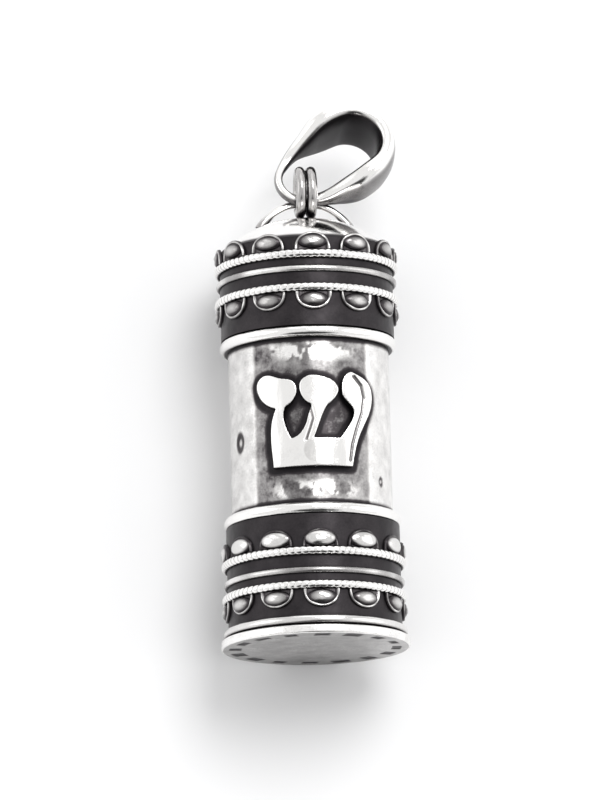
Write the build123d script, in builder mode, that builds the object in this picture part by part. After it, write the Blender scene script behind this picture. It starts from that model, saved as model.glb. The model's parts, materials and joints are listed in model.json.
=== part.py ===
"""Pendant mezuzah case in oxidised silver, lying on its back with its bail turned to the right.

Frame: origin on the supporting surface under the middle of the overall box, +Z up, +Y along the
case from its flat foot towards the bail. Millimetres. Heights are measured along the case from
the flat outer face of the foot.
"""
import os
from math import cos, radians, sin, sqrt

from build123d import *

os.makedirs("parts", exist_ok=True)

# ---- driving dimensions ------------------------------------------------------------------------
OVERALL_LENGTH = 30.276         # foot to the far end of the bail, in the rest pose
BASE_R = 5.1                    # widest turning, which the case lies on
FOOT_Y = -OVERALL_LENGTH / 2    # where height 0 lies along Y

TUBE_R = 4.35
TUBE_BORE_R = 3.90
TUBE_BOTTOM = 1.08
TUBE_TOP = 21.70
RUNNING_GAP = 0.03

BAND_R = 4.69                   # dark inner wall that the collar wires are soldered to
CAP_BAND_BOTTOM = 16.86
FOOT_BAND_TOP = 6.55

RIM_R = 4.80
RIM_WIDTH = 0.64
BASE_THICKNESS = 0.47
BASE_BEVEL = 0.10
FLANGE_TOP = 1.05
FLANGE_R = 4.98
FLANGE_BORE_R = 4.20
FLANGE_FLAT = 0.55              # straight part of the flange's section, before it rounds

STRIP_MIDDLE_CAP = 19.82
STRIP_MIDDLE_FOOT = 3.60
RIDGE_R = 4.90
RIDGE_WIDTH = 0.36
RIDGE_OFFSET = 0.12             # ridge wire sits a little nearer the outer end of each collar
MILGRAIN_R = 5.00
MILGRAIN_WIDTH = 0.50
MILGRAIN_OFFSET = 0.92
SCALLOP_COUNT = 12
SCALLOP_SHEET = 0.10            # thickness of the scalloped edge strip
SCALLOP_RADIUS = 0.88
SCALLOP_HALF_WIDTH = 0.98
SCALLOP_TIP = 2.15              # from the strip's middle to the scallop tips
SCALLOP_ROOT = MILGRAIN_OFFSET + MILGRAIN_WIDTH / 2
BOSS_SIZE = (1.10, 0.52)        # round the case and along it
BIG_BOSS_SIZE = (1.62, 0.74)    # the foot's upper row
BOSS_OFFSET = 1.72
BOSS_RISE = 0.14

DOME_APEX = 23.59
DOME_WALL = 0.50

EYE_WIRE_R = 0.20
EYE_HALF_SPAN = 2.45
EYE_CROWN_ABOVE_APEX = 0.925
EYE_FOOT_BELOW_APEX = 0.48

RING_WIRE_R = 0.30
RING_HOLE_R = 0.84
RING_TURN_PITCH = 0.60
RING_X = 0.05
RING_ABOVE_APEX = 1.45          # ring centre
RING_ABOVE_EYE_Z = 0.36

BAIL_SMALL_R = 1.44             # outer radius round the narrow end
BAIL_SMALL_HOLE_R = 1.00
BAIL_BIG_R = 2.49
BAIL_BIG_HOLE_R = 1.38
BAIL_CENTRES = 3.24             # between the two end arcs, outside
BAIL_HOLE_CENTRES = 3.36        # and inside
BAIL_SIDE_R = 7.0               # gentle bulge of both long sides
BAIL_NARROW_WIDTH = 0.58
BAIL_WIDE_WIDTH = 3.54
BAIL_TURN = 57.5                # degrees to the right of the case axis
BAIL_DROP = 17.8                # degrees that the bail slopes down away from the case
BAIL_LEAN = 3.0                 # and down to the right
BAIL_WALL_IN_RING = (-0.48, 0.22)   # wall centre in the ring's hole, along Y and along Z
BAIL_PIVOT_LEFT = 0.20          # centre of the narrow end, to the left of the ring's middle

LETTER_RISE = 0.45
LETTER_FOOT = 9.0               # height of the letter's bottom edge

SCROLL_R = 3.30
SCROLL_CORE_R = 0.45
SCROLL_BOTTOM = 0.52
SCROLL_TOP = 20.90

# ---- frames ------------------------------------------------------------------------------------
AXIS_Z = BASE_R
CASE_AXIS = Axis((0, 0, AXIS_Z), (0, 1, 0))


def across(height, drop=0.0):
    """Plane square to the case at a height, its origin lowered by drop; it faces the bail."""
    return Plane(origin=(0, FOOT_Y + height, AXIS_Z - drop), x_dir=(1, 0, 0), z_dir=(0, 1, 0))


RADIAL = Plane(origin=(0, FOOT_Y, AXIS_Z), x_dir=(1, 0, 0), z_dir=(0, 0, 1))  # x radius, y height

pieces = {}


def keep(name, part):
    """Label a finished piece and write it as its own STEP file."""
    part.label = name
    pieces[name] = part
    export_step(part, f"parts/{name}.step")


# ---- turned and wire pieces --------------------------------------------------------------------
def sleeve(outer_r, inner_r, bottom, top):
    """Plain tube between two heights."""
    with BuildPart() as part:
        with BuildSketch(across(bottom)):
            Circle(outer_r)
            Circle(inner_r, mode=Mode.SUBTRACT)
        extrude(amount=top - bottom)
    return part.part


def half_round_wire(inner_r, outer_r, middle, width, flat=0.05):
    """Ring whose section is flat inside and rounded outside, over a flat shoulder."""
    low, high = middle - width / 2, middle + width / 2
    shoulder = inner_r + flat
    with BuildPart() as part:
        with BuildSketch(RADIAL):
            with BuildLine():
                Polyline((shoulder, high), (inner_r, high), (inner_r, low), (shoulder, low))
                ThreePointArc((shoulder, low), (outer_r, middle), (shoulder, high))
            make_face()
        revolve(axis=CASE_AXIS)
    return part.part


def scallop_edge(middle, direction):
    """Thin strip round the band whose free edge is cut into twelve round lobes."""
    root = middle + direction * SCALLOP_ROOT
    tip = middle + direction * SCALLOP_TIP
    lobe_centre = tip - direction * SCALLOP_RADIUS
    root_band = sleeve(BAND_R + SCALLOP_SHEET, BAND_R, *sorted((root, root + direction * 0.1)))
    whole_band = sleeve(BAND_R + SCALLOP_SHEET, BAND_R, *sorted((root, tip)))
    with BuildPart() as lobes:
        for index in range(SCALLOP_COUNT):
            turn = Location(CASE_AXIS.position, (0, 360 * index / SCALLOP_COUNT, 0))
            with BuildSketch(Plane(turn * Location((0, FOOT_Y + lobe_centre, 0)))):
                Ellipse(SCALLOP_HALF_WIDTH, SCALLOP_RADIUS)
            extrude(amount=BASE_R)
        add(whole_band, mode=Mode.INTERSECT)
        add(root_band)
    return lobes.part


def boss_row(middle, direction, size):
    """Twelve oval domed bosses standing on the scallops."""
    length, width = size
    seat_r = BAND_R + SCALLOP_SHEET
    top = Plane(origin=(0, FOOT_Y + middle + direction * BOSS_OFFSET, AXIS_Z + seat_r + BOSS_RISE),
                x_dir=(1, 0, 0), z_dir=(0, 0, -1))
    around = sleeve(BASE_R, seat_r, 0, DOME_APEX)
    with BuildPart() as boss:
        with BuildSketch(top):
            Ellipse(length / 2 - BOSS_RISE, width / 2 - BOSS_RISE)
        extrude(amount=2 * BOSS_RISE, taper=-35)
        add(around, mode=Mode.INTERSECT)
    with BuildPart() as row:
        for index in range(SCALLOP_COUNT):
            add(boss.part.rotate(CASE_AXIS, 360 * index / SCALLOP_COUNT))
    return row.part


def collar_strip(prefix, middle, outward, upper_boss_size):
    """Scallops, bosses, milgrain wires and ridge wire of one collar; outward is +1 or -1."""
    ridge = middle + outward * RIDGE_OFFSET
    keep(f"{prefix}_ridge_wire", half_round_wire(BAND_R, RIDGE_R, ridge, RIDGE_WIDTH))
    for side, direction, boss_size in (("upper", 1, upper_boss_size), ("lower", -1, BOSS_SIZE)):
        wire_middle = middle + direction * MILGRAIN_OFFSET
        wire = half_round_wire(BAND_R, MILGRAIN_R, wire_middle, MILGRAIN_WIDTH, flat=0.08)
        keep(f"{prefix}_milgrain_{side}", wire)
        keep(f"{prefix}_scallops_{side}", scallop_edge(middle, direction))
        keep(f"{prefix}_bosses_{side}", boss_row(middle, direction, boss_size))


# ---- case: tube, cap and dome ------------------------------------------------------------------
keep("case_tube", sleeve(TUBE_R, TUBE_BORE_R, TUBE_BOTTOM, TUBE_TOP))
keep("cap_band", sleeve(BAND_R, TUBE_R, CAP_BAND_BOTTOM, TUBE_TOP))
keep("cap_rim", half_round_wire(TUBE_R, RIM_R, CAP_BAND_BOTTOM - RIM_WIDTH / 2, RIM_WIDTH, flat=0.2))
collar_strip("cap", STRIP_MIDDLE_CAP, 1, BOSS_SIZE)

dome_rise = DOME_APEX - TUBE_TOP
dome_sphere_r = (BAND_R**2 + dome_rise**2) / (2 * dome_rise)
dome_centre = DOME_APEX - dome_sphere_r
dome_inner_r = dome_sphere_r - DOME_WALL
dome_inner_edge = sqrt(dome_inner_r**2 - (TUBE_TOP - dome_centre) ** 2)
dome_mid = radians(70)          # any angle between rim and apex fixes the arc
with BuildPart() as cap_dome:
    with BuildSketch(RADIAL):
        with BuildLine():
            ThreePointArc(
                (BAND_R, TUBE_TOP),
                (dome_sphere_r * cos(dome_mid), dome_centre + dome_sphere_r * sin(dome_mid)),
                (0, DOME_APEX))
            Line((0, DOME_APEX), (0, DOME_APEX - DOME_WALL))
            ThreePointArc(
                (0, DOME_APEX - DOME_WALL),
                (dome_inner_r * cos(dome_mid), dome_centre + dome_inner_r * sin(dome_mid)),
                (dome_inner_edge, TUBE_TOP))
            Line((dome_inner_edge, TUBE_TOP), (BAND_R, TUBE_TOP))
        make_face()
    revolve(axis=CASE_AXIS)
keep("cap_dome", cap_dome.part)

# ---- raised letter, drawn on the unrolled tube as (distance round, height above its bottom edge) --
LETTER_OUTLINE = [
    [(-2.35, 0.12), (-2.45, 1.30), (-2.40, 2.60), (-2.15, 3.35)],
    [(-2.15, 3.35), (-2.80, 3.70), (-3.20, 4.30), (-3.15, 4.95), (-2.75, 5.20), (-1.90, 4.97),
     (-1.25, 4.80), (-1.02, 4.40), (-1.10, 3.95), (-1.65, 3.40)],
    [(-1.65, 3.40), (-1.75, 3.00), (-1.60, 2.20), (-1.35, 1.65)],
    [(-1.35, 1.65), (-0.85, 1.95), (-0.55, 2.50), (-0.40, 3.05), (-0.25, 3.50)],
    [(-0.25, 3.50), (-0.82, 4.10), (-0.80, 4.75), (-0.40, 5.05), (0.30, 5.00), (0.95, 4.70),
     (1.15, 4.30), (1.00, 3.90), (0.55, 3.45)],
    [(0.55, 3.45), (0.35, 3.10), (0.05, 2.30), (-0.20, 1.65)],
    [(-0.20, 1.65), (1.20, 1.65)],
    [(1.20, 1.65), (1.85, 2.60), (2.00, 3.20), (1.60, 3.70), (1.38, 4.00)],
    [(1.38, 4.00), (1.36, 4.60), (1.50, 5.00), (1.87, 5.30)],
    [(1.87, 5.30), (2.40, 5.10), (2.95, 4.75), (3.20, 4.10), (3.10, 3.40), (2.65, 2.50),
     (2.25, 1.70), (2.00, 0.90), (1.85, 0.12)],
    [(1.85, 0.12), (-2.35, 0.12)],
]
letter_mid_r = TUBE_R + LETTER_RISE / 2


def on_tube(point):
    """Unrolled letter point as seen square to the tube."""
    around, height = point
    return letter_mid_r * sin(around / TUBE_R), LETTER_FOOT + height


with BuildPart() as shin_letter:
    with BuildSketch(RADIAL):
        with BuildLine():
            for stretch in LETTER_OUTLINE:
                points = [on_tube(point) for point in stretch]
                if len(points) == 2:
                    Line(*points)
                else:
                    Spline(*points)
        make_face()
    extrude(amount=BASE_R)
    add(sleeve(TUBE_R + LETTER_RISE, TUBE_R, FOOT_BAND_TOP, CAP_BAND_BOTTOM), mode=Mode.INTERSECT)
keep("shin_letter", shin_letter.part)

# ---- wire eye on the dome ----------------------------------------------------------------------
with BuildPart() as eye_loop:
    with BuildLine(RADIAL) as eye_path:
        ThreePointArc((-EYE_HALF_SPAN, DOME_APEX - EYE_FOOT_BELOW_APEX),
                      (0, DOME_APEX + EYE_CROWN_ABOVE_APEX),
                      (EYE_HALF_SPAN, DOME_APEX - EYE_FOOT_BELOW_APEX))
    with BuildSketch(Plane(origin=eye_path.line @ 0, z_dir=eye_path.line % 0)):
        Circle(EYE_WIRE_R)
    sweep()
    with Locations((0, FOOT_Y + dome_centre, AXIS_Z)):
        Sphere(dome_sphere_r, mode=Mode.SUBTRACT)
keep("eye_loop", eye_loop.part)

# ---- removable foot: slides over the tube ------------------------------------------------------
foot_bore_r = TUBE_R + RUNNING_GAP
keep("foot_band", sleeve(BAND_R, foot_bore_r, FLANGE_TOP, FOOT_BAND_TOP))
keep("foot_rim", half_round_wire(foot_bore_r, RIM_R, FOOT_BAND_TOP + RIM_WIDTH / 2, RIM_WIDTH, flat=0.2))
collar_strip("foot", STRIP_MIDDLE_FOOT, -1, BIG_BOSS_SIZE)
flange_width = FLANGE_TOP - BASE_THICKNESS
flange_middle = FLANGE_TOP - flange_width / 2
keep("foot_flange", half_round_wire(FLANGE_BORE_R, FLANGE_R, flange_middle, flange_width, FLANGE_FLAT))
with BuildPart() as base_disc:
    with BuildSketch(across(0)):
        Circle(BASE_R)
    extrude(amount=BASE_THICKNESS)
    chamfer(base_disc.edges().filter_by(GeomType.CIRCLE), length=BASE_BEVEL)
keep("base_disc", base_disc.part)

# ---- rolled parchment, lying on the bottom of the bore -----------------------------------------
scroll_drop = TUBE_BORE_R - SCROLL_R - RUNNING_GAP
with BuildPart() as parchment_scroll:
    with BuildSketch(across(SCROLL_BOTTOM, scroll_drop)):
        Circle(SCROLL_R)
        Circle(SCROLL_CORE_R, mode=Mode.SUBTRACT)
    extrude(amount=SCROLL_TOP - SCROLL_BOTTOM)
keep("parchment_scroll", parchment_scroll.part)

# ---- double-turn jump ring ---------------------------------------------------------------------
ring_centre = Vector(RING_X, FOOT_Y + DOME_APEX + RING_ABOVE_APEX, AXIS_Z + RING_ABOVE_EYE_Z)
ring_middle_r = RING_HOLE_R + RING_WIRE_R
with BuildPart() as jump_ring:
    with BuildSketch(Plane(origin=ring_centre, x_dir=(1, 0, 0), z_dir=(0, 0, 1))):
        for turn_x in (-RING_TURN_PITCH / 2, RING_TURN_PITCH / 2):
            with Locations((turn_x, ring_middle_r)):
                Circle(RING_WIRE_R)
    revolve(axis=Axis(ring_centre, (1, 0, 0)))
keep("jump_ring", jump_ring.part)

# ---- bail: teardrop loop, narrow where it passes through the ring, wide at the far end ----------
drop = radians(BAIL_DROP)
lean = radians(BAIL_LEAN)
face_up = Vector(cos(drop) * sin(lean), sin(drop), cos(drop) * cos(lean))   # square to its face
face_along = (Vector(0, 1, 0) - face_up * face_up.Y).normalized()   # case direction, in its face
face_right = face_along.cross(face_up)
wall_middle_r = (BAIL_SMALL_R + BAIL_SMALL_HOLE_R) / 2
wall_in_ring = ring_centre + Vector(0, *BAIL_WALL_IN_RING)
pivot_ahead = sqrt(wall_middle_r**2 - BAIL_PIVOT_LEFT**2)
bail_pivot = wall_in_ring + face_along * pivot_ahead - face_right * BAIL_PIVOT_LEFT
turn = radians(BAIL_TURN)
bail_direction = face_right * sin(turn) + face_along * cos(turn)
BAIL_FACE = Plane(origin=bail_pivot, x_dir=bail_direction, z_dir=face_up)
BAIL_SIDE = Plane(origin=bail_pivot, x_dir=bail_direction, z_dir=bail_direction.cross(face_up))


def teardrop(small_r, big_r, centres, side_r):
    """Closed outline: two end arcs joined by two side arcs that touch them smoothly."""
    to_small, to_big = side_r - small_r, side_r - big_r
    side_x = (to_small**2 - to_big**2 + centres**2) / (2 * centres)
    side_y = sqrt(to_small**2 - side_x**2)
    touch_small = Vector(-side_x, side_y) * (small_r / to_small)
    touch_big = Vector(centres, 0) + Vector(centres - side_x, side_y) * (big_r / to_big)
    side_mid = Vector(side_x, -side_y) + Vector(-0.32, 1).normalized() * side_r
    for sign in (1, -1):
        ends = [Vector(point.X, sign * point.Y) for point in (touch_small, side_mid, touch_big)]
        ThreePointArc(*ends)
    ThreePointArc(touch_small, (-small_r, 0), (touch_small.X, -touch_small.Y))
    ThreePointArc(touch_big, (centres + big_r, 0), (touch_big.X, -touch_big.Y))


bail_reach = BAIL_CENTRES + BAIL_BIG_R
with BuildPart() as bail:
    with BuildSketch(BAIL_FACE):
        with BuildLine():
            teardrop(BAIL_SMALL_R, BAIL_BIG_R, BAIL_CENTRES, BAIL_SIDE_R)
        make_face()
        with BuildLine():
            teardrop(BAIL_SMALL_HOLE_R, BAIL_BIG_HOLE_R, BAIL_HOLE_CENTRES, BAIL_SIDE_R)
        make_face(mode=Mode.SUBTRACT)
    extrude(amount=BAIL_WIDE_WIDTH / 2, both=True)
    with BuildSketch(BAIL_SIDE):
        with BuildLine():
            narrow, wide = BAIL_NARROW_WIDTH / 2, BAIL_WIDE_WIDTH / 2
            Polyline((-2 * BAIL_SMALL_R, -narrow), (-2 * BAIL_SMALL_R, narrow), (-0.2, narrow))
            Spline((-0.2, narrow), (BAIL_CENTRES, wide), tangents=((1, 0), (1, 0)))
            Polyline((BAIL_CENTRES, wide), (bail_reach + 1, wide), (bail_reach + 1, -wide),
                     (BAIL_CENTRES, -wide))
            Spline((BAIL_CENTRES, -wide), (-0.2, -narrow), tangents=((-1, 0), (-1, 0)))
            Line((-0.2, -narrow), (-2 * BAIL_SMALL_R, -narrow))
        make_face()
    extrude(amount=2 * BAIL_BIG_R, both=True, mode=Mode.INTERSECT)
keep("bail", bail.part)

# ---- what the record states --------------------------------------------------------------------
whole = Compound(children=list(pieces.values())).bounding_box()
silver = sum(part.volume for name, part in pieces.items() if name != "parchment_scroll")
print("box low", tuple(round(v, 3) for v in whole.min), "high", tuple(round(v, 3) for v in whole.max))
print("ring centre", tuple(round(v, 3) for v in ring_centre))
print("bail pivot", tuple(round(v, 3) for v in bail_pivot), "axis", tuple(round(v, 4) for v in face_up))
bail_hole = BAIL_FACE.from_local_coords(Vector(BAIL_HOLE_CENTRES, 0, 0))
print("bail hole centre", tuple(round(v, 3) for v in bail_hole))
print("silver volume mm3", round(silver, 1), "nodes", len(pieces))
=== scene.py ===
"""Looks of the pendant mezuzah case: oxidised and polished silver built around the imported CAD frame.

Shapes are worked out in millimetres, in the row frame, and become metres when a piece is made.
Heights are measured along the case from the flat face of its foot. Angles round the case start at
the letter (+Z) and grow towards +X.
"""
import json
from math import acos, asin, atan2, cos, hypot, pi, radians, sin, sqrt, tau

import bmesh
import bpy
import numpy as np
from mathutils import Matrix, Vector, noise
from mathutils.bvhtree import BVHTree


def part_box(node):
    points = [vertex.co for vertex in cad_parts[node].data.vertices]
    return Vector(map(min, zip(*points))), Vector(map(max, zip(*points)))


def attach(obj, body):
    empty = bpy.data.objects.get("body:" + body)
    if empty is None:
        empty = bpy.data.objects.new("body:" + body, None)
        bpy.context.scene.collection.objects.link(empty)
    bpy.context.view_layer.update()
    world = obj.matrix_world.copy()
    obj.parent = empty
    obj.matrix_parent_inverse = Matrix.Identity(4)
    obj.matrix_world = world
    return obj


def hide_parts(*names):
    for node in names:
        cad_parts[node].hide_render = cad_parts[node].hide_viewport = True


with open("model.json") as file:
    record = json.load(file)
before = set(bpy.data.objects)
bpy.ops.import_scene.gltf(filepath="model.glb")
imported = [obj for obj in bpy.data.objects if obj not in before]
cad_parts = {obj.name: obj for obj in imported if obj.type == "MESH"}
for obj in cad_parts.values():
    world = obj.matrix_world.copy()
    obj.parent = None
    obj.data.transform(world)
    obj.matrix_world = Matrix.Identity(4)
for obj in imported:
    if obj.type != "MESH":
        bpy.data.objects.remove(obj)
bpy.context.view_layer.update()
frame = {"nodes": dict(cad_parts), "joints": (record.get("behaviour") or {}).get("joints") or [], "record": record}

MM = 0.001
SEGMENTS = 288                  # facets round a turned piece


# ---- measures from the frame ---------------------------------------------------------------------
def corners(node):
    """Lowest and highest corner of a CAD node, in millimetres."""
    low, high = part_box(node)
    return Vector(low) / MM, Vector(high) / MM


DISC_LOW, DISC_HIGH = corners("base_disc")
AXIS_Z = (DISC_LOW.z + DISC_HIGH.z) / 2
FOOT_Y = DISC_LOW.y


def turned(node):
    """Outer radius, lowest and highest height of a piece turned about the case axis."""
    low, high = corners(node)
    return (high.x - low.x) / 2, low.y - FOOT_Y, high.y - FOOT_Y


FLANGE_R, FLANGE_BOTTOM, FLANGE_TOP = turned("foot_flange")
BAND_R = turned("cap_band")[0]
TUBE_R, TUBE_BOTTOM, TUBE_TOP = turned("case_tube")
DISC_R, _, DISC_TOP = turned("base_disc")
DOME_APEX = turned("cap_dome")[2]
RUNNING_GAP = 0.03
TUBE_BORE_R = TUBE_R - 0.45
FOOT_BORE_R = TUBE_R + RUNNING_GAP
FLANGE_BORE_R = 4.20

JOINTS = {joint["name"]: joint for joint in frame["joints"]}
MOUNTS = {mount["name"]: mount for mount in frame["record"]["mounts"]}
RING_CENTRE = Vector(JOINTS["ring_swing"]["pos_m"]) / MM
BAIL_PIVOT = Vector(JOINTS["bail_turn"]["pos_m"]) / MM
BAIL_FACE = Vector(JOINTS["bail_turn"]["axis"]).normalized()
BAIL_HOLE = Vector(MOUNTS["chain_opening"]["pos_m"]) / MM


def on_case(radius, angle, height):
    """Point at a radius, an angle round the case and a height along it."""
    return (radius * sin(angle), FOOT_Y + height, AXIS_Z + radius * cos(angle))


def smooth(value):
    """Smooth step from 0 to 1."""
    value = min(1.0, max(0.0, value))
    return value * value * (3 - 2 * value)


def grain(point, scale, seed=0.0):
    """Steady noise between -1 and 1 at a point, with features about 1/scale long."""
    return noise.noise(Vector(point) * scale + Vector((seed, 3.1 * seed, -seed)))


# ---- materials -----------------------------------------------------------------------------------
class Shader:
    """Short way of writing a node material."""

    def __init__(self, name):
        self.material = bpy.data.materials.new(name)
        self.material.use_nodes = True
        self.tree = self.material.node_tree
        self.principled = self.tree.nodes["Principled BSDF"]

    def add(self, kind, sockets=None, **properties):
        node = self.tree.nodes.new(kind)
        for key, value in properties.items():
            setattr(node, key, value)
        for key, value in (sockets or {}).items():
            self.put(node.inputs[key], value)
        return node

    def put(self, socket, value):
        if isinstance(value, bpy.types.NodeSocket):
            self.tree.links.new(value, socket)
        else:
            socket.default_value = value

    def math(self, operation, first, second=0.0, clamp=False):
        return self.add("ShaderNodeMath", {0: first, 1: second}, operation=operation,
                        use_clamp=clamp).outputs[0]

    def millimetres(self, stretch=(1, 1, 1)):
        """Place on the piece, in millimetres, so that patterns ride with it."""
        place = self.add("ShaderNodeTexCoord").outputs["Object"]
        scale = tuple(value / MM for value in stretch)
        return self.add("ShaderNodeMapping", {"Vector": place, "Scale": scale}).outputs["Vector"]

    def noise(self, vector, scale, detail=2.0, roughness=0.5):
        sockets = {"Vector": vector, "Scale": scale, "Detail": detail, "Roughness": roughness}
        return self.add("ShaderNodeTexNoise", sockets).outputs["Fac"]

    def centred(self, value, amount):
        """Noise made to swing about zero by an amount."""
        return self.math("MULTIPLY", self.math("SUBTRACT", value, 0.5), amount)

    def span(self, value, low, high, to_low, to_high):
        sockets = {"Value": value, "From Min": low, "From Max": high, "To Min": to_low, "To Max": to_high}
        return self.add("ShaderNodeMapRange", sockets).outputs["Result"]

    def ramp(self, value, stops):
        node = self.add("ShaderNodeValToRGB", {"Fac": value})
        elements = node.color_ramp.elements
        while len(elements) < len(stops):
            elements.new(0.5)
        for element, (position, colour) in zip(elements, stops):
            element.position = position
            element.color = (*colour, 1.0)
        return node.outputs["Color"]


OXIDE = (0.010, 0.008, 0.010)
PATINA = (0.060, 0.054, 0.057)
WORN = (0.44, 0.43, 0.425)
BRIGHT = (0.95, 0.94, 0.925)


def silver(name, gloss, patches, specks, crevice, scratches=0.25):
    """Silver whose per-point value of wear and painted light runs from black oxide (0) to bright metal (1).

    gloss is the roughness of bright metal, patches and specks how far noise shifts that value, and crevice how
    far, in millimetres, oxide stays in corners.
    """
    shader = Shader(name)
    place = shader.millimetres()
    blotch = shader.noise(place, 1.3, detail=3.0)
    fine = shader.noise(place, 9.0, detail=3.0, roughness=0.65)
    lines = shader.noise(shader.millimetres((14, 1.2, 14)), 1.0, detail=2.0)
    wear_and_painted_light = shader.add("ShaderNodeAttribute", attribute_name="wear_and_painted_light").outputs["Fac"]
    wear_and_painted_light = shader.math("ADD", wear_and_painted_light, shader.centred(blotch, patches))
    wear_and_painted_light = shader.math("ADD", wear_and_painted_light, shader.centred(fine, specks))
    corner = shader.add("ShaderNodeAmbientOcclusion", {"Distance": crevice * MM}, samples=8).outputs["AO"]
    corner = shader.span(corner, 0.30, 0.85, 0.0, 1.0)
    wear_and_painted_light = shader.math("MULTIPLY", wear_and_painted_light, corner, clamp=True)
    colour = shader.ramp(wear_and_painted_light, [(0.0, OXIDE), (0.35, PATINA), (0.68, WORN), (1.0, BRIGHT)])
    rough = shader.span(wear_and_painted_light, 0.0, 1.0, 0.42, gloss)
    rough = shader.math("ADD", rough, shader.centred(fine, 0.10), clamp=True)
    height = shader.math("ADD", fine, shader.math("MULTIPLY", lines, scratches))
    bump = shader.add("ShaderNodeBump", {"Height": height, "Strength": 0.35, "Distance": 0.012 * MM})
    for socket, value in (("Base Color", colour), ("Roughness", rough), ("Normal", bump.outputs["Normal"]),
                          ("Metallic", shader.span(wear_and_painted_light, 0.0, 0.4, 0.7, 1.0))):
        shader.put(shader.principled.inputs[socket], value)
    return shader.material


def parchment():
    """Cream skin with fibres and a faint mottle."""
    shader = Shader("parchment")
    blotch = shader.noise(shader.millimetres(), 0.9, detail=4.0)
    fibres = shader.noise(shader.millimetres((6, 1.1, 6)), 3.0, detail=3.0)
    tone = shader.math("ADD", blotch, shader.centred(fibres, 0.5), clamp=True)
    colour = shader.ramp(tone, [(0.2, (0.50, 0.38, 0.22)), (0.5, (0.74, 0.63, 0.44)),
                                (0.8, (0.83, 0.75, 0.58))])
    bump = shader.add("ShaderNodeBump", {"Height": fibres, "Strength": 0.4, "Distance": 0.02 * MM})
    for socket, value in (("Base Color", colour), ("Roughness", shader.span(blotch, 0, 1, 0.6, 0.8)),
                          ("Normal", bump.outputs["Normal"])):
        shader.put(shader.principled.inputs[socket], value)
    return shader.material


MATERIALS = {
    "polished": silver("polished_silver", gloss=0.10, patches=0.12, specks=0.10, crevice=0.38),
    "oxidised": silver("oxidised_silver", gloss=0.20, patches=0.26, specks=0.20, crevice=0.90),
    "satin": silver("satin_silver", gloss=0.22, patches=0.30, specks=0.26, crevice=0.35, scratches=0.6),
    "parchment": parchment(),
}


# ---- making pieces -------------------------------------------------------------------------------
def piece(name, points, faces, wear_and_painted_light, body, finish, sharp=38):
    """Mesh piece from points in millimetres, in place of the node of its name; wear and painted light is one value
    a point.
    """
    mesh = bpy.data.meshes.new(name)
    mesh.from_pydata((np.asarray(points, float) * MM).tolist(), [], faces)
    # The wear attribute holds real wear and, on the bail, tube and base, also painted shade and highlights.
    layer = mesh.attributes.new("wear_and_painted_light", "FLOAT", "POINT")
    layer.data.foreach_set("value", np.clip(np.asarray(wear_and_painted_light, np.float32), 0, 1))
    work = bmesh.new()
    work.from_mesh(mesh)
    bmesh.ops.remove_doubles(work, verts=work.verts, dist=1e-8)
    bmesh.ops.recalc_face_normals(work, faces=work.faces)
    work.to_mesh(mesh)
    work.free()
    mesh.polygons.foreach_set("use_smooth", [True] * len(mesh.polygons))
    mesh.set_sharp_from_angle(angle=radians(sharp))
    mesh.materials.append(MATERIALS[finish])
    made = bpy.data.objects.new(name, mesh)
    bpy.context.scene.collection.objects.link(made)
    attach(made, body)
    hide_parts(name)
    return made


def ring_faces(rows, columns, wrap_rows=True, wrap_columns=True, start=0):
    """Four-sided faces over a grid of points that may close on itself either way."""
    faces = []
    for row in range(rows if wrap_rows else rows - 1):
        after = (row + 1) % rows
        for column in range(columns if wrap_columns else columns - 1):
            beside = (column + 1) % columns
            faces.append((start + row * columns + column, start + row * columns + beside,
                          start + after * columns + beside, start + after * columns + column))
    return faces


def lathe(name, outline, body, finish, relief=None, segments=SEGMENTS):
    """Solid turned about the case axis from a closed outline of (radius, height, wear and painted light) points.

    relief(angle, radius, height, wear and painted light) gives back the radius and that value there.
    """
    points, wear_and_painted_light = [], []
    for step in range(segments):
        angle = tau * step / segments
        for radius, height, worn_and_painted_light in outline:
            if relief:
                radius, worn_and_painted_light = relief(angle, radius, height, worn_and_painted_light)
            points.append(on_case(radius, angle, height))
            wear_and_painted_light.append(worn_and_painted_light)
    faces = ring_faces(segments, len(outline))
    return piece(name, points, faces, wear_and_painted_light, body, finish)


def arc(centre, radius, start, end, steps):
    """Points of an arc in (radius, height), from one angle in degrees to another."""
    return [(centre[0] + radius * cos(radians(start + (end - start) * step / steps)),
             centre[1] + radius * sin(radians(start + (end - start) * step / steps)))
            for step in range(steps + 1)]


def waver(amount, seed):
    """Relief of hand-soldered wire: the radius wanders a little on the outside."""
    def relief(angle, radius, height, worn_and_painted_light):
        wander = grain(on_case(radius, angle, height), 0.9, seed) + 0.5 * grain(
            on_case(radius, angle, height), 3.1, seed)
        return radius - amount * worn_and_painted_light * (0.5 + 0.5 * wander), worn_and_painted_light
    return relief


def half_round(inner_r, outer_r, low, high, shoulder, dark=0.15, bright=1.0, steps=14):
    """Outline of a wire that is flat on its seat and round outside, bright on its crown."""
    middle, half, seat = (low + high) / 2, (high - low) / 2, inner_r + shoulder
    outline = [(inner_r, low, dark)]
    for step in range(steps + 1):
        lean = radians(-90 + 180 * step / steps)
        worn_and_painted_light = dark + (bright - dark) * smooth(cos(lean) * 1.9)
        outline.append((seat + (outer_r - seat) * cos(lean), middle + half * sin(lean), worn_and_painted_light))
    outline.append((inner_r, high, dark))
    return outline


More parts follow.
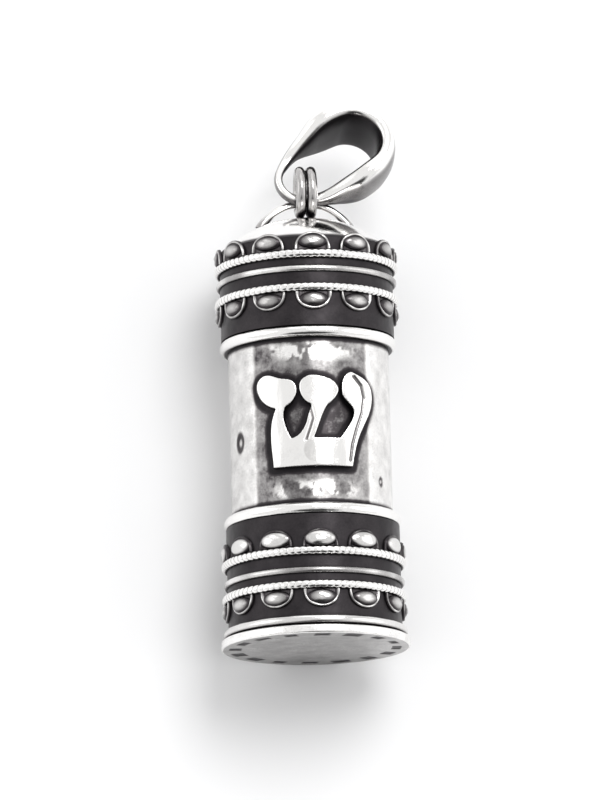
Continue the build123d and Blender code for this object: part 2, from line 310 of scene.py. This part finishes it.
# ---- turned pieces of both collars ---------------------------------------------------------------
def band(name, inner_r, body):
    """Dark inner wall of a collar."""
    outer_r, low, high = turned(name)
    outline = [(inner_r, low, 0.3), (outer_r, low, 0.12)]
    rows = 40
    outline += [(outer_r, low + (high - low) * row / rows, 0.13) for row in range(1, rows)]
    outline += [(outer_r, high, 0.12), (inner_r, high, 0.3)]

    def relief(angle, radius, height, worn_and_painted_light):
        if radius > inner_r:
            radius -= 0.02 * (0.5 + 0.5 * grain(on_case(radius, angle, height), 2.4, 7.0))
        return radius, worn_and_painted_light
    lathe(name, outline, body, "oxidised", relief=relief)


def rim(name, inner_r, body, seed):
    """Heavy polished half-round wire that closes a collar next to the tube."""
    outer_r, low, high = turned(name)
    lathe(name, half_round(inner_r, outer_r, low, high, shoulder=0.12, dark=0.05, steps=18), body,
          "polished", relief=waver(0.035, seed))


def ridge(name, body, seed):
    """Thin plain wire between the two grooves, rubbed bright only in places."""
    outer_r, low, high = turned(name)
    outline = half_round(BAND_R, outer_r, low, high, shoulder=0.03, dark=0.1, bright=0.85)

    def relief(angle, radius, height, worn_and_painted_light):
        rub = 0.5 + 0.9 * grain(on_case(radius, angle, height), 0.7, seed)
        return radius - 0.02 * worn_and_painted_light, worn_and_painted_light * (0.72 + 0.4 * smooth(rub))
    lathe(name, outline, body, "oxidised", relief=relief)


MILGRAIN_TWISTS = 84
MILGRAIN_STEPS = 10             # facets along each twist
MILGRAIN_DEPTH = 0.17           # share of the strand's height lost in the valleys


def milgrain(name, body, lean):
    """Twisted wire: rounded strands lean across it, with sharp dark valleys between."""
    outer_r, low, high = turned(name)
    middle, half, seat = (low + high) / 2, (high - low) / 2, BAND_R + 0.05
    steps = 14
    points, wear_and_painted_light = [], []
    segments = MILGRAIN_TWISTS * MILGRAIN_STEPS
    for segment in range(segments):
        angle = tau * segment / segments
        depth = MILGRAIN_DEPTH * (0.40 + 0.60 * smooth((abs(sin(angle / 2)) - 0.22) / 0.22))
        uneven = 1 - 0.07 * (0.5 + 0.5 * grain((cos(angle) * 9, sin(angle) * 9, middle), 1.0, 2.0))
        points.append(on_case(BAND_R, angle, low + 0.02))
        wear_and_painted_light.append(0.1)
        for step in range(steps + 1):
            across = -pi / 2 + pi * step / steps
            strand = abs(sin((MILGRAIN_TWISTS * angle + lean * across) / 2))
            swell = (1 - depth * (1 - strand ** 0.7)) * uneven
            radius = seat + (outer_r - seat) * cos(across) * swell
            points.append(on_case(radius, angle, middle + half * sin(across) * (0.86 + 0.14 * strand)))
            wear_and_painted_light.append(0.1 + 0.95 * smooth(cos(across) * 2.2) * smooth(0.80 - 2.4 * depth + 1.5 * strand))
        points.append(on_case(BAND_R, angle, high - 0.02))
        wear_and_painted_light.append(0.1)
    piece(name, points, ring_faces(segments, steps + 3), wear_and_painted_light, body, "polished", sharp=80)


# ---- scallops and bosses -------------------------------------------------------------------------
SCALLOP_COUNT = 12
LOBE_HALF_WIDTH = 0.98
LOBE_LEVELS = [                 # share of the way out, height above the band, wear
    (0.0, 0.050, 0.45), (0.50, 0.050, 0.45), (0.70, 0.050, 0.38), (0.76, 0.060, 0.30),
    (0.81, 0.100, 0.42), (0.86, 0.145, 0.66), (0.91, 0.165, 0.76), (0.95, 0.150, 0.62),
    (0.985, 0.100, 0.32), (1.0, 0.040, 0.12), (1.0, -0.030, 0.05)]


def scallops(name, body, direction, shine):
    """Strip with twelve round lobes, each with a raised lip round a sunken floor.

    shine scales the wear of the lips.
    """
    _, low, high = turned(name)
    root, tip = (low, high) if direction > 0 else (high, low)
    reach = abs(tip - root)
    arch_steps = 28
    points, wear_and_painted_light, faces = [], [], []
    for index in range(SCALLOP_COUNT):
        centre = tau * index / SCALLOP_COUNT
        start = len(points)
        size = 1 + 0.03 * grain((index, root, direction), 1.7, 4.0)
        for share, rise, worn_and_painted_light in LOBE_LEVELS:
            for step in range(arch_steps + 1):
                turn = pi * step / arch_steps
                around = LOBE_HALF_WIDTH * size * cos(turn) * share
                out = reach * sin(turn) ** 0.85 * share * (0.97 if size < 1 else 1)
                rough = grain((around, out, 1.3 * index), 2.6, 6.0)
                lift = 0.035 * rough if worn_and_painted_light > 0.4 and share > 0.75 else 0.0
                points.append(on_case(BAND_R + rise + lift, centre + around / BAND_R, root + direction * out))
                wear_and_painted_light.append(worn_and_painted_light * (1 + 0.5 * rough) * (shine if share > 0.75 else 1))
        columns = arch_steps + 1
        faces += ring_faces(len(LOBE_LEVELS), columns, wrap_rows=False, wrap_columns=False, start=start)
        under = len(points)
        for share, _, _ in LOBE_LEVELS[:-1]:
            for step in (0, arch_steps):
                around = LOBE_HALF_WIDTH * size * cos(pi * step / arch_steps) * share
                points.append(on_case(BAND_R - 0.03, centre + around / BAND_R, root))
                wear_and_painted_light.append(0.05)
        last = len(LOBE_LEVELS) - 1
        sides = [[start + level * columns for level in range(len(LOBE_LEVELS))],
                 [start + level * columns + arch_steps for level in range(len(LOBE_LEVELS))]]
        bottoms = [[under + 2 * level for level in range(last)] + [sides[0][-1]],
                   [under + 2 * level + 1 for level in range(last)] + [sides[1][-1]]]
        for side, bottom in zip(sides, bottoms):
            for level in range(last - 1):
                faces.append((side[level], side[level + 1], bottom[level + 1], bottom[level]))
            faces.append((side[last - 1], side[last], bottom[last - 1]))
        edge = [start + last * columns + step for step in range(columns)]
        floor_line = bottoms[0][:-1] + bottoms[1][:-1][::-1]
        faces.append(tuple(edge + floor_line[len(bottoms[0]) - 1:] + floor_line[:len(bottoms[0]) - 1]))
    piece(name, points, faces, wear_and_painted_light, body, "oxidised", sharp=50)


BOSS_SIZES = {                  # half width, half length, height above the band, offset, crown wear
    "cap_bosses_upper": (0.82, 0.40, 0.29, 0.42, 1.30),
    "cap_bosses_lower": (0.82, 0.41, 0.29, 0.42, 1.20),
    "foot_bosses_upper": (0.93, 0.47, 0.31, 0.40, 2.8),
    "foot_bosses_lower": (0.82, 0.41, 0.31, 0.42, 1.4),
}


def bosses(name, body, scallop_name, direction):
    """Twelve oval domes with a hand-worked, slightly faceted face."""
    half_width, half_length, rise, offset, shine = BOSS_SIZES[name]
    _, low, high = turned(scallop_name)
    middle = (low if direction > 0 else high) + direction * offset
    rings, columns = 9, 28
    points, wear_and_painted_light, faces = [], [], []
    for index in range(SCALLOP_COUNT):
        centre = tau * index / SCALLOP_COUNT
        start = len(points)
        for ring in range(rings + 1):
            lean = pi / 2 * ring / rings
            for column in range(columns):
                turn = tau * column / columns
                x, y, z = sin(lean) * cos(turn), sin(lean) * sin(turn), cos(lean)
                dent = 1 + 0.16 * grain((x, y, z + index), 2.1, 9.0 + direction) * cos(lean)
                around, along = half_width * x * (0.97 + 0.03 * dent), half_length * y
                points.append(on_case(BAND_R + rise * z ** 0.8 * dent, centre + around / BAND_R,
                                      middle + along))
                wear_and_painted_light.append(0.15 + 0.72 * smooth(shine * (z - 0.40)))
        faces += ring_faces(rings + 1, columns, wrap_rows=False, start=start)
        faces.append(tuple(start + rings * columns + column for column in range(columns)))
    piece(name, points, faces, wear_and_painted_light, body, "polished", sharp=60)


def collar(prefix, body):
    """Everything soldered to one collar's band."""
    for side, direction in (("upper", 1), ("lower", -1)):
        milgrain(f"{prefix}_milgrain_{side}", body, lean=1.0 * direction)
        bare = prefix == "foot" and side == "upper"
        scallops(f"{prefix}_scallops_{side}", body, direction, shine=0.5 if bare else 1.0)
        bosses(f"{prefix}_bosses_{side}", body, f"{prefix}_scallops_{side}", direction)
    ridge(f"{prefix}_ridge_wire", body, seed=11.0 if prefix == "cap" else 17.0)


# ---- raised letter -------------------------------------------------------------------------------
LETTER_FOOT = corners("shin_letter")[0].y - FOOT_Y
LETTER_SINK = 0.12              # how far its back sits in the tube
LETTER_VOXEL = 0.042
LETTER_LINES = [                # chased lines, as (distance round, height above the foot)
    [(1.95, 14.05), (2.38, 13.55), (2.52, 12.9), (2.38, 12.1), (2.05, 11.2), (1.78, 10.3), (1.66, 9.45)],
    [(-0.32, 12.3), (-0.20, 11.7), (-0.38, 11.1), (-0.55, 10.6)],
]
LINE_WIDTH, LINE_DEPTH = 0.15, 0.10


def distance_to_line(x, y, line):
    """Shortest distance from a point to a chain of straight runs."""
    best = 1e9
    for (ax, ay), (bx, by) in zip(line, line[1:]):
        run = (bx - ax) ** 2 + (by - ay) ** 2
        share = max(0.0, min(1.0, ((x - ax) * (bx - ax) + (y - ay) * (by - ay)) / run))
        best = min(best, hypot(x - ax - share * (bx - ax), y - ay - share * (by - ay)))
    return best


def letter():
    """The CAD letter, sunk into the tube, with softened cast edges and chased lines."""
    source = frame["nodes"]["shin_letter"].data
    mesh = source.copy()
    for vertex in mesh.vertices:
        x, y, z = vertex.co / MM
        radius, angle = hypot(x, z - AXIS_Z), atan2(x, z - AXIS_Z)
        if radius < TUBE_R + 0.05:
            radius = TUBE_R - LETTER_SINK
        vertex.co = Vector((radius * sin(angle), y, AXIS_Z + radius * cos(angle)))
    rough = bpy.data.objects.new("letter_blank", mesh)
    bpy.context.scene.collection.objects.link(rough)
    remesh = rough.modifiers.new("voxels", "REMESH")
    remesh.mode, remesh.voxel_size = "VOXEL", LETTER_VOXEL
    soften = rough.modifiers.new("soften", "SMOOTH")
    soften.factor, soften.iterations = 0.5, 4
    shaped = bpy.data.meshes.new_from_object(rough.evaluated_get(bpy.context.evaluated_depsgraph_get()))
    bpy.data.objects.remove(rough)
    points, wear_and_painted_light = [], []
    for vertex in shaped.vertices:
        x, y, z = vertex.co
        radius, angle, height = hypot(x, z - AXIS_Z), atan2(x, z - AXIS_Z), y - FOOT_Y
        rise = radius - TUBE_R
        worn_and_painted_light = 0.05 + 1.1 * smooth((rise - 0.16) / 0.2)
        if rise > 0.2:
            gap = min(distance_to_line(angle * TUBE_R, height, line) for line in LETTER_LINES)
            cut = smooth(1 - gap / LINE_WIDTH)
            radius -= LINE_DEPTH * cut + 0.02 * (0.5 + 0.5 * grain((x, y, z), 1.1, 21.0))
            worn_and_painted_light -= 0.70 * cut
            thin = hypot((angle * TUBE_R + 0.18) / 0.52, (height - LETTER_FOOT - 0.86) / 0.64)
            worn_and_painted_light -= 0.28 * smooth((1.15 - thin) / 0.25)
        points.append(on_case(radius, angle, height))
        wear_and_painted_light.append(worn_and_painted_light)
    faces = [tuple(polygon.vertices) for polygon in shaped.polygons]
    return piece("shin_letter", points, faces, wear_and_painted_light, "case", "polished", sharp=60)


# ---- tube ----------------------------------------------------------------------------------------
def tube(letter_piece):
    """Case tube, mottled grey round the letter and paler towards its sides."""
    tree = BVHTree.FromObject(letter_piece, bpy.context.evaluated_depsgraph_get())
    shown_low, shown_high = turned("foot_rim")[2], turned("cap_rim")[1]
    rows = 118
    outline = [(TUBE_BORE_R, TUBE_BOTTOM, 0.55), (TUBE_R - 0.05, TUBE_BOTTOM, 0.75),
               (TUBE_R, TUBE_BOTTOM + 0.05, 0.8)]
    outline += [(TUBE_R, TUBE_BOTTOM + 0.05 + (shown_low - 0.4 - TUBE_BOTTOM) * step / 24, 0.8)
                for step in range(1, 24)]
    low, high = shown_low - 0.3, shown_high + 0.1
    outline += [(TUBE_R, low + (high - low) * row / rows, 0.85) for row in range(rows + 1)]
    outline += [(TUBE_R, TUBE_TOP, 0.3), (TUBE_BORE_R, TUBE_TOP, 0.3)]
    pits = [((-4.95, 10.95), 0.33), ((4.12, 8.60), 0.16)]     # small dents either side of the letter

    def relief(angle, radius, height, worn_and_painted_light):
        if radius < TUBE_R or not low <= height <= high:
            return radius, worn_and_painted_light
        angle = (angle + pi) % tau - pi
        around = angle * TUBE_R
        place = on_case(radius, angle, height)
        gap = tree.find_nearest(Vector(place) * MM)[3] / MM
        to_end = min(height - shown_low, shown_high - height)
        front = smooth((around + 3.72) / 0.30) * smooth((3.22 - around) / 0.30)
        # Band about 0.75 mm in from each rim on the front face. It gets fine surface bumps and painted highlight
        # speckles.
        glints_and_bumps = smooth(1.2 - abs(to_end - 0.75) / 0.55) * front
        # Painted shade: the -X side, turned away from the key light, is a little darker.
        worn_and_painted_light = 0.90 - 0.05 * smooth(-around) + 0.08 * grain(place, 1.9, 43.0)
        # Darker over the front face, most near the letter, and paler towards the sides.
        worn_and_painted_light -= front * (0.40 - 0.10 * smooth((gap - 0.4) / 0.9))
        worn_and_painted_light -= 0.80 * (1 - smooth((gap - 0.08) / 0.36))
        worn_and_painted_light += front * 0.09 * grain(place, 4.2, 37.0)
        if abs(around) < 2.0 and LETTER_FOOT + 1.5 < height < LETTER_FOOT + 4.0:
            worn_and_painted_light = min(worn_and_painted_light, 0.40 + 0.12 * grain(place, 3.0, 39.0) - 0.06 * smooth(around * 2))
        # Painted highlights: bright speckles scattered through that band, which is a little darkened between them.
        facets = grain(place, 1.35, 31.0) + 0.55 * grain(place, 4.5, 45.0)
        speck = smooth(6.0 * facets + 0.75) * smooth(1.1 - abs(around + 0.2) / 2.9)
        worn_and_painted_light += glints_and_bumps * (0.85 * speck - 0.10)
        # Oxide in the corner and painted shade under the overhanging rims: the tube darkens within about 0.34 mm
        # of each rim.
        worn_and_painted_light -= 0.85 * (1 - smooth((to_end + 0.02) / 0.34))
        hollows = 0.012 * (0.5 + 0.5 * grain(place, 2.6, 33.0))
        radius -= hollows + 0.010 * glints_and_bumps * abs(grain(place, 3.4, 35.0))
        for (dent_around, dent_height), size in pits:
            off = hypot(around - dent_around, (height - dent_height) * 0.7) / size
            if off < 1.6:
                ring = smooth(1.4 - abs(off - 0.85) * 2.2)
                radius -= 0.05 * smooth(1.3 - off)
                worn_and_painted_light -= 0.55 * ring
        return radius, worn_and_painted_light
    lathe("case_tube", outline, "case", "satin", relief=relief, segments=340)


# ---- cap top -------------------------------------------------------------------------------------
def dome():
    """Shallow domed top, polished on its crown and dark where the scallops stand against it."""
    rise, wall = DOME_APEX - TUBE_TOP, 0.5
    sphere_r = (BAND_R ** 2 + rise ** 2) / (2 * rise)
    centre = (0.0, DOME_APEX - sphere_r)
    edge = asin(BAND_R / sphere_r)
    inner_r = sphere_r - wall
    inner_edge = acos((TUBE_TOP - centre[1]) / inner_r)
    rows = 56
    outline = []
    for row in range(rows + 1):
        lean = edge * (1 - row / rows)
        radius = sphere_r * sin(lean)
        worn_and_painted_light = 0.98 - 0.90 * smooth((radius - 4.42) / 0.24)
        outline.append((radius, centre[1] + sphere_r * cos(lean), worn_and_painted_light))
    for row in range(rows // 2 + 1):
        lean = inner_edge * row / (rows // 2)
        outline.append((inner_r * sin(lean), centre[1] + inner_r * cos(lean), 0.4))
    lathe("cap_dome", outline, "case", "polished")


# ---- wire pieces ---------------------------------------------------------------------------------
def wire(name, path, radii, wears, body, sides=24, caps=True):
    """Round wire along a list of points, its frame carried along without twist."""
    path = [Vector(point) for point in path]
    along = [(path[min(i + 1, len(path) - 1)] - path[max(i - 1, 0)]).normalized() for i in range(len(path))]
    up = along[0].orthogonal().normalized()
    points, wear_and_painted_light = [], []
    rows = []
    for spot, heading, radius, worn_and_painted_light in zip(path, along, radii, wears):
        up = (up - heading * up.dot(heading)).normalized()
        rows.append((spot, heading, up.copy(), radius, worn_and_painted_light))
    if caps:
        for at, sign in ((0, -1), (len(rows) - 1, 1)):
            spot, heading, side, radius, worn_and_painted_light = rows[at]
            rounded = [(spot + heading * sign * radius * 0.35 * sin(lean), heading, side,
                        max(radius * cos(lean), radius * 0.02), worn_and_painted_light) for lean in (0.5, 0.95, 1.35)]
            rows = rounded[::-1] + rows if sign < 0 else rows + rounded
    for spot, heading, side, radius, worn_and_painted_light in rows:
        across = heading.cross(side)
        for corner in range(sides):
            turn = tau * corner / sides
            points.append(spot + (side * cos(turn) + across * sin(turn)) * radius)
            wear_and_painted_light.append(worn_and_painted_light)
    faces = ring_faces(len(rows), sides, wrap_rows=False)
    faces += [tuple(range(sides)), tuple(range(len(points) - sides, len(points)))]
    return piece(name, points, faces, wear_and_painted_light, body, "polished", sharp=70)


EYE_WIRE_R = 0.20
EYE_SOLDER = 0.06               # extra radius where the solder has run; more would meet the bail
EYE_HALF_SPAN, EYE_FOOT_DROP = 2.45, 0.48     # of the arch's centre line, and its feet below the apex


def eye():
    """Wire arch soldered to the dome, thicker at its feet where the solder has run."""
    crown = corners("eye_loop")[1].y - EYE_WIRE_R - FOOT_Y
    sagitta = crown - (DOME_APEX - EYE_FOOT_DROP)
    arch_r = (EYE_HALF_SPAN ** 2 + sagitta ** 2) / (2 * sagitta)
    half = asin(EYE_HALF_SPAN / arch_r)
    steps = 72
    path, radii, wears = [], [], []
    for step in range(steps + 1):
        lean = -half + 2 * half * step / steps
        path.append((arch_r * sin(lean), FOOT_Y + crown - arch_r + arch_r * cos(lean), AXIS_Z))
        to_foot = smooth((abs(lean) / half - 0.62) / 0.38)
        radii.append(EYE_WIRE_R + EYE_SOLDER * to_foot)
        wears.append(0.95 - 0.25 * to_foot)
    wire("eye_loop", path, radii, wears, "case", caps=False)


RING_WIRE_R, RING_CAD_WIRE_R = 0.28, 0.30     # a hair thinner than the solid, so it clears the eye
RING_PITCH = 0.60               # between its two turns
RING_WEAR = 0.70


def jump_ring():
    """Double-turn ring: two flat turns joined by one short crossover, low behind the eye."""
    low, high = corners("jump_ring")
    middle_r = (high.y - low.y) / 2 - RING_CAD_WIRE_R
    crossover = radians(27)
    start, end = crossover, 2 * tau - crossover
    steps = 260
    path = []
    for step in range(steps + 1):
        turn = start + (end - start) * step / steps
        side = -RING_PITCH / 2 + RING_PITCH * smooth((turn - tau + crossover) / (2 * crossover))
        angle = turn + radians(200)
        path.append(RING_CENTRE + Vector((side, middle_r * sin(angle), middle_r * cos(angle))))
    wire("jump_ring", path, [RING_WIRE_R] * len(path), [RING_WEAR] * len(path), "ring")


# ---- bail ----------------------------------------------------------------------------------------
BAIL_OUTSIDE = {"small_r": 1.44, "big_r": 2.49, "centres": 3.24}
BAIL_INSIDE = {"small_r": 1.00, "big_r": 1.38, "centres": 3.36}
BAIL_SIDE_R = 7.0
BAIL_NARROW, BAIL_WIDE = 0.29, 1.77     # half widths
BAIL_FLARE = (-0.2, 3.24)               # where the flare starts and ends
BAIL_FULLNESS = 0.22                    # extra thickness of the two long sides
BAIL_BACK_TAPER = 0.55                  # how far the outside draws in towards the back
BAIL_SLACK = 0.985                      # share of the solid's width, so that it stays clear of the eye


def teardrop_joins(small_r, big_r, centres):
    """Centre of a side arc, and the directions at which it meets the wide and the narrow end."""
    to_small, to_big = BAIL_SIDE_R - small_r, BAIL_SIDE_R - big_r
    side_x = (to_small ** 2 - to_big ** 2 + centres ** 2) / (2 * centres)
    side_y = sqrt(to_small ** 2 - side_x ** 2)
    return side_x, side_y, atan2(side_y, centres - side_x), atan2(side_y, -side_x)


def teardrop_point(facing, small_r, big_r, centres):
    """Point of the teardrop whose outward direction is at an angle from the wide end."""
    side_x, side_y, big_end, small_start = teardrop_joins(small_r, big_r, centres)
    sign = 1 if facing >= 0 else -1
    lean = abs(facing)
    if lean < big_end:
        x, y, radius = centres, 0.0, big_r
    elif lean > small_start:
        x, y, radius = 0.0, 0.0, small_r
    else:
        x, y, radius = side_x, -side_y, BAIL_SIDE_R
    return Vector((x + radius * cos(lean), sign * (y + radius * sin(lean))))


def bail_flare(x):
    """Share of the flare at a distance from the pivot towards the wide end."""
    return smooth((x - BAIL_FLARE[0]) / (BAIL_FLARE[1] - BAIL_FLARE[0]))


def bail():
    """Cast teardrop loop, full and rounded on its faces, flaring towards the far end."""
    _, _, big_end, small_start = teardrop_joins(**BAIL_OUTSIDE)
    half = list(np.linspace(0, big_end, 34)) + list(np.linspace(big_end, small_start, 30))[1:]
    half += list(np.linspace(small_start, pi, 26))[1:]
    facings = half + [-facing for facing in half[-2:0:-1]]
    direction = (BAIL_HOLE - BAIL_PIVOT).normalized()
    sideways = BAIL_FACE.cross(direction)
    sides = 44
    points, wear_and_painted_light = [], []
    for facing in facings:
        outer = teardrop_point(facing, **BAIL_OUTSIDE)
        inner = teardrop_point(facing, **BAIL_INSIDE)
        swell = Vector((cos(facing), sin(facing))) * smooth((outer.x - 1.2) / 1.6)
        swell *= smooth((4.6 - outer.x) / 2.4)
        outer += swell * BAIL_FULLNESS
        inner -= swell * BAIL_FULLNESS / 2
        middle, outward = (outer + inner) / 2, (outer - inner) / 2
        flare = bail_flare(middle.x)
        for side in range(sides):
            turn = tau * side / sides
            out, up = cos(turn), sin(turn)
            out = abs(out) ** (0.62 if out < 0 else 0.88) * (1 if out > 0 else -1)
            up = abs(up) ** 0.72 * (1 if up > 0 else -1)
            out = -1 + (out + 1) * (1 - BAIL_BACK_TAPER * max(0.0, -up) ** 1.5 * flare)
            spot = middle + outward * out
            half_width = BAIL_SLACK * (BAIL_NARROW + (BAIL_WIDE - BAIL_NARROW) * bail_flare(spot.x))
            points.append(BAIL_PIVOT + direction * spot.x + sideways * spot.y + BAIL_FACE * (up * half_width))
            # Painted shade on the bail: the inner wall is darkened almost to black, the outer side greyed with a
            # mottle, and the back half darkened, standing in for shade and dark reflections.
            inside = smooth((-out - 0.45) / 0.4)
            outside = smooth((cos(turn) - 0.62) / 0.2) * smooth((up + 0.9) / 0.3)
            outer_shade_mottle = 0.5 + 0.5 * grain(points[-1], 0.55, 71.0)
            behind = smooth((-up - 0.1) / 0.4) * (1 - inside)
            wear_and_painted_light.append(1.0 - 0.97 * inside - outside * (0.36 + 0.28 * outer_shade_mottle) - 0.35 * behind)
    faces = ring_faces(len(facings), sides)
    piece("bail", points, faces, wear_and_painted_light, "bail", "polished", sharp=70)


# ---- foot ----------------------------------------------------------------------------------------
def flange():
    """Polished bead between the foot's bottom and its collar."""
    lathe("foot_flange", half_round(FLANGE_BORE_R, FLANGE_R, FLANGE_BOTTOM + 0.04, FLANGE_TOP,
                                    shoulder=FLANGE_R - FLANGE_BORE_R - 0.26, dark=0.08, bright=0.88),
          "foot", "polished", relief=waver(0.02, 41.0))


PUNCH_COUNT = 16
PUNCH_R = 4.35                  # circle that the dashes stand on
DISC_EDGE = 0.11                # rounding of the disc's edge


def base():
    """Flat bottom with plain punched dashes round its edge, its rim polished bright."""
    rings, columns = 70, 320
    outline = [((DISC_R - DISC_EDGE) * ring / rings, 0.0, 0.66) for ring in range(rings + 1)]
    outline += [(*point, 0.98) for point in arc((DISC_R - DISC_EDGE, DISC_EDGE), DISC_EDGE, -80, 0, 6)]
    outline += [(*point, 0.98)
                for point in arc((DISC_R - DISC_EDGE, DISC_TOP - DISC_EDGE), DISC_EDGE, 0, 80, 6)]
    outline += [(FLANGE_R - 0.10, DISC_TOP, 0.1), (FLANGE_BORE_R, DISC_TOP, 0.3), (0.0, DISC_TOP, 0.4)]
    points, wear_and_painted_light = [], []
    for step in range(columns):
        angle = tau * step / columns
        for radius, height, worn_and_painted_light in outline:
            if height == 0.0:
                nearest = round(angle / tau * PUNCH_COUNT) * tau / PUNCH_COUNT
                along = (angle - nearest) * radius
                length, depth = 0.40 + 0.08 * sin(5 * nearest), 0.27 + 0.07 * sin(3 * nearest + 1)
                inside = max(abs(along) / length, abs(radius - PUNCH_R) / depth)
                cut = smooth((1.2 - inside) * 2.4) if radius > 2.5 else 0.0
                dimple = grain((radius * cos(angle), radius * sin(angle), 0), 1.4, 51.0)
                height += 0.05 * cut + 0.01 * (0.5 + 0.5 * dimple)
                # Painted shade: the face darkens towards its lower edge, next to the floor.
                worn_and_painted_light -= 0.75 * cut + 0.16 * smooth((-radius * cos(angle) - 1.2) / 3.2)
            points.append(on_case(radius, angle, height))
            wear_and_painted_light.append(worn_and_painted_light)
    piece("base_disc", points, ring_faces(columns, len(outline)), wear_and_painted_light, "foot", "satin")


# ---- scroll --------------------------------------------------------------------------------------
def scroll():
    """Blank parchment rolled from the core outwards, its turns a hair apart."""
    low, high = corners("parchment_scroll")
    centre_z, outer_r = (low.z + high.z) / 2, (high.x - low.x) / 2
    core_r, sheet, pitch = 0.45, 0.20, 0.285
    turns = (outer_r - sheet - core_r) / pitch
    steps = int(turns * 64)
    rows = [low.y, low.y + 0.05, (low.y + high.y) / 2, high.y - 0.05, high.y]
    points, wear_and_painted_light = [], []
    for step in range(steps + 1):
        angle = tau * turns * step / steps
        radius = core_r + pitch * angle / tau
        for face in (0, 1):
            for row in (rows if face == 0 else rows[::-1]):
                slack = 0.03 * grain((cos(angle), sin(angle), row * 0.2), 1.3, 61.0)
                reach = radius + face * sheet + min(slack, outer_r - radius - face * sheet)
                points.append((reach * sin(angle), row, centre_z + reach * cos(angle)))
                wear_and_painted_light.append(1.0)
    columns = 2 * len(rows)
    faces = ring_faces(steps + 1, columns, wrap_rows=False)
    faces += [tuple(range(columns)), tuple(range(len(points) - columns, len(points)))]
    piece("parchment_scroll", points, faces, wear_and_painted_light, "scroll", "parchment")


# ---- stage, light and camera ---------------------------------------------------------------------
def floor():
    """Large pale floor."""
    half = 1.5
    mesh = bpy.data.meshes.new("floor")
    points = [(-half, -half, 0), (half, -half, 0), (half, half, 0), (-half, half, 0)]
    mesh.from_pydata(points, [], [(0, 1, 2, 3)])
    shader = Shader("floor")
    shader.put(shader.principled.inputs["Base Color"], (0.86, 0.86, 0.865, 1))
    shader.put(shader.principled.inputs["Roughness"], 0.7)
    mesh.materials.append(shader.material)
    made = bpy.data.objects.new("floor", mesh)
    bpy.context.scene.collection.objects.link(made)


ROOM_LIGHT = 0.88
ROOM_SPOTS = [                  # direction, inner and outer angle in degrees, brightness
    ((0.0, -0.80, 0.60), 14, 34, 0.05),
    ((-0.06, -0.34, 0.94), 2, 7, 0.45),
    ((-0.95, 0.25, 0.30), 12, 30, 1.7),
    ((0.95, 0.10, 0.35), 14, 32, 1.7),
    ((0.05, 0.92, 0.40), 12, 30, 1.5),
]


def room():
    """Soft pale room with brighter windows and a darker patch where the onlooker stands."""
    world = bpy.data.worlds.new("room")
    world.use_nodes = True
    bpy.context.scene.world = world
    tree = world.node_tree
    facing = tree.nodes.new("ShaderNodeTexCoord").outputs["Generated"]
    colour = None
    for direction, inner, outer, brightness in ROOM_SPOTS:
        dot = tree.nodes.new("ShaderNodeVectorMath")
        dot.operation = "DOT_PRODUCT"
        dot.inputs[1].default_value = Vector(direction).normalized()
        tree.links.new(facing, dot.inputs[0])
        reach = tree.nodes.new("ShaderNodeMapRange")
        reach.interpolation_type = "SMOOTHSTEP"
        reach.inputs["From Min"].default_value = cos(radians(outer))
        reach.inputs["From Max"].default_value = cos(radians(inner))
        tree.links.new(dot.outputs["Value"], reach.inputs["Value"])
        mix = tree.nodes.new("ShaderNodeMix")
        mix.data_type = "FLOAT"
        tree.links.new(reach.outputs["Result"], mix.inputs["Factor"])
        if colour is None:
            mix.inputs["A"].default_value = ROOM_LIGHT
        else:
            tree.links.new(colour, mix.inputs["A"])
        mix.inputs["B"].default_value = brightness
        colour = mix.outputs["Result"]
    background = tree.nodes["Background"]
    tree.links.new(colour, background.inputs["Color"])
    background.inputs["Strength"].default_value = 1.0


def sun():
    """Broad soft key from above, towards the bail and the right."""
    lamp = bpy.data.lights.new("key", "SUN")
    lamp.energy, lamp.angle = 1.35, radians(30)
    made = bpy.data.objects.new("key", lamp)
    made.rotation_euler = Vector((0.24, 0.44, 0.87)).to_track_quat("Z", "Y").to_euler()
    bpy.context.scene.collection.objects.link(made)


VIEW_ELEVATION, VIEW_SWING, VIEW_ROLL = 78.63, 4.7, -1.55   # degrees
VIEW_DISTANCE = 538.0
VIEW_TARGET = (-0.506, -1.485, 5.1)
FRAME_HEIGHT, FOCAL = 800, 9960                             # picture height and focal length alike


def camera():
    """Camera at the reference viewing angle."""
    lean, swing, roll = (radians(value) for value in (VIEW_ELEVATION, VIEW_SWING, VIEW_ROLL))
    back = Vector((-sin(swing) * sin(lean), -cos(lean), cos(swing) * sin(lean)))
    level = Vector((0, 1, 0)).cross(back).normalized()
    rise = back.cross(level)
    right = level * cos(roll) + rise * sin(roll)
    up = rise * cos(roll) - level * sin(roll)
    data = bpy.data.cameras.new("camera")
    data.sensor_fit, data.sensor_height = "VERTICAL", 24.0
    data.lens = data.sensor_height * FOCAL / FRAME_HEIGHT
    data.clip_start, data.clip_end = 0.01, 10.0
    made = bpy.data.objects.new("camera", data)
    place = (Vector(VIEW_TARGET) + back * VIEW_DISTANCE) * MM
    made.matrix_world = Matrix((
        (right.x, up.x, back.x, place.x),
        (right.y, up.y, back.y, place.y),
        (right.z, up.z, back.z, place.z),
        (0, 0, 0, 1)))
    bpy.context.scene.collection.objects.link(made)
    bpy.context.scene.camera = made


# ---- the whole object ----------------------------------------------------------------------------
band("cap_band", TUBE_R, "case")
band("foot_band", FOOT_BORE_R, "foot")
rim("cap_rim", TUBE_R, "case", seed=1.0)
rim("foot_rim", FOOT_BORE_R, "foot", seed=5.0)
collar("cap", "case")
collar("foot", "foot")
tube(letter())
dome()
eye()
jump_ring()
bail()
flange()
base()
scroll()

floor()
room()
sun()
camera()
bpy.context.scene.view_settings.view_transform = "Standard"
